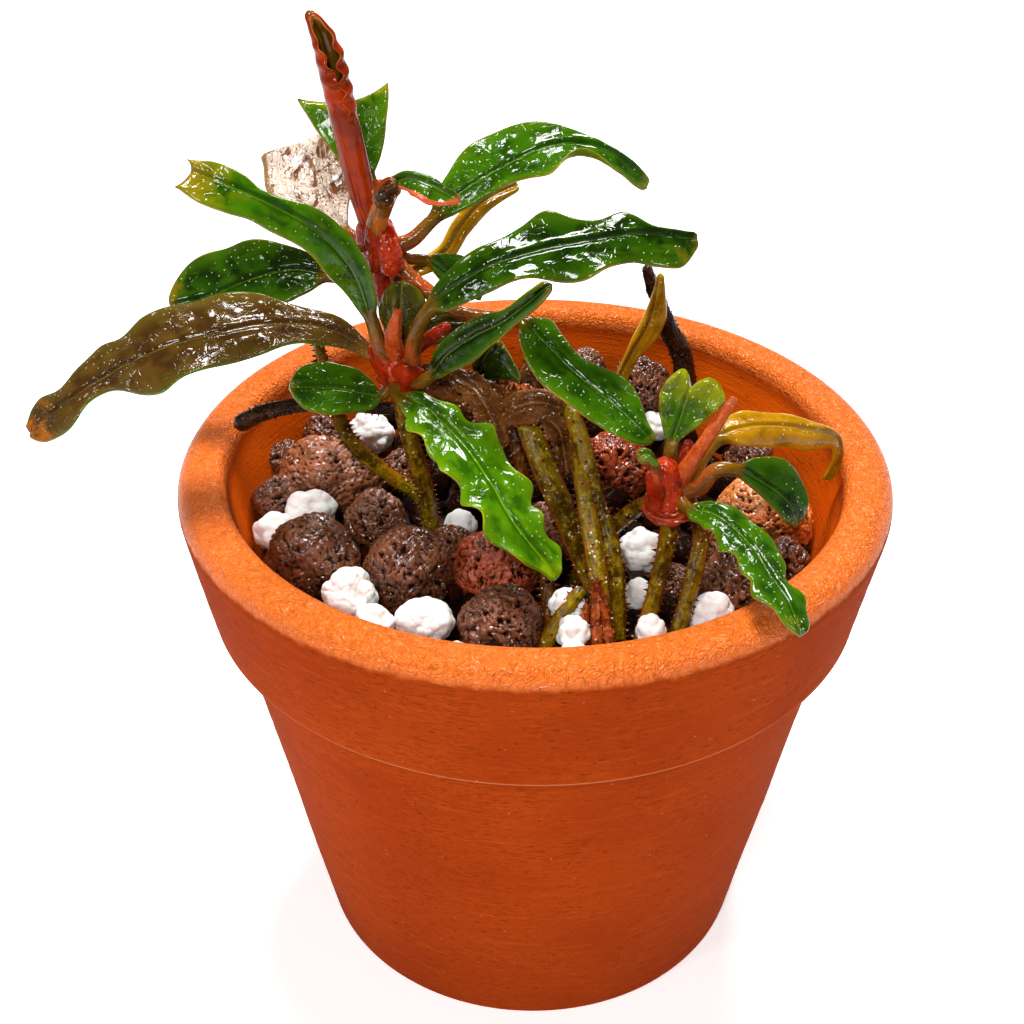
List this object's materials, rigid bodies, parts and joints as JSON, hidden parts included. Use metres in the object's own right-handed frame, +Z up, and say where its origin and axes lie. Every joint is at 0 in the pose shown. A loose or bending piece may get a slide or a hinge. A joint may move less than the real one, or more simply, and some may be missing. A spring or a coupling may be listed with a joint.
{
  "type": "potted bucephalandra",
  "caption": "Small aquarium plant with glossy wavy leaves, red new growth and upright stems, rooted in brown stones and white perlite in a tapered, collared terracotta pot.",
  "frame": {"origin": "bottom centre of the whole object's bounding box, on the surface that the pot stands on; the pot's turning axis is 7.7 mm from it along +X", "axes": "+Z up along the pot's axis, +X to the right and +Y away from the viewer of the picture"},
  "size_m": [0.1054, 0.09, 0.1276],
  "materials": {
    "terracotta": "unglazed fired clay, satin on the lip, fine turning lines on the wall",
    "stone_dark": "wet, wrinkled and pitted dark brown lava stone",
    "stone_red": "wet, wrinkled red-brown lava stone",
    "perlite": "matt white lumps",
    "granule_bed": "dark granules with near-black gaps",
    "leaf_green": "glossy wet green with rows of fine pale dots and a yellow margin",
    "leaf_dark_green": "glossy wet dark green with rows of fine pale dots",
    "leaf_bronze": "glossy bronze-olive with a white sheen and an orange tip",
    "leaf_copper": "glossy copper-pink with brown veins and a gold margin",
    "leaf_gold": "glossy olive-yellow",
    "stem_olive": "wet olive-brown with small teeth along the edges",
    "rhizome_brown": "wet rough dark brown",
    "new_growth_red": "glossy translucent red",
    "dead_black": "wet near-black"
  },
  "bodies": {
    "root": {"pot": "terracotta", "mix_bed": "granule_bed", "pebble_back": "stone_dark", "pebble_back_middle": "stone_red", "pebble_back_right": "stone_dark", "pebble_by_main_stem": "stone_dark", "pebble_centre": "stone_dark", "pebble_front_left": "stone_dark", "pebble_front_middle": "stone_dark", "pebble_front_rim": "stone_dark", "pebble_left_wide": "stone_dark", "pebble_orange": "stone_red", "pebble_red": "stone_red", "pebble_right_front": "stone_dark", "perlite_back_left": "perlite", "perlite_centre": "perlite", "perlite_front": "perlite", "perlite_front_left": "perlite", "perlite_left": "perlite", "perlite_right": "perlite", "dead_petiole": "dead_black", "dead_stem": "dead_black", "rhizome": "rhizome_brown", "root_inner": "rhizome_brown", "root_left": "stem_olive", "root_link": "stem_olive", "root_red": "new_growth_red", "stem_arch": "stem_olive", "stem_broad": "stem_olive", "stem_main": "stem_olive", "stem_middle": "stem_olive", "stem_right": "stem_olive", "stem_right_back": "stem_olive", "stem_upper": "new_growth_red", "leaf_back": "stem_olive", "leaf_bronze_long": "leaf_bronze", "leaf_bud_striped": "new_growth_red", "leaf_copper": "leaf_copper", "leaf_front_wavy": "leaf_green", "leaf_gold_folded": "leaf_gold", "leaf_inner_lower": "leaf_bronze", "leaf_inner_right": "leaf_dark_green", "leaf_inner_upper": "stem_olive", "leaf_left_rear": "leaf_dark_green", "leaf_left_upper": "leaf_green", "leaf_low_right": "leaf_green", "leaf_narrow_curl": "leaf_dark_green", "leaf_oval": "leaf_green", "leaf_over_rim": "leaf_green", "leaf_right_long": "leaf_dark_green", "leaf_right_upper": "leaf_green", "leaf_shoot_upright": "leaf_green", "leaf_small_curl": "leaf_green", "leaf_small_middle": "leaf_green", "leaf_spoon": "leaf_dark_green", "leaf_top_fan": "leaf_green", "new_leaf_rolled": "new_growth_red", "petiole_strap": "leaf_gold", "shoot_pink": "new_growth_red", "spike_right": "new_growth_red"}
  },
  "joints": []
}
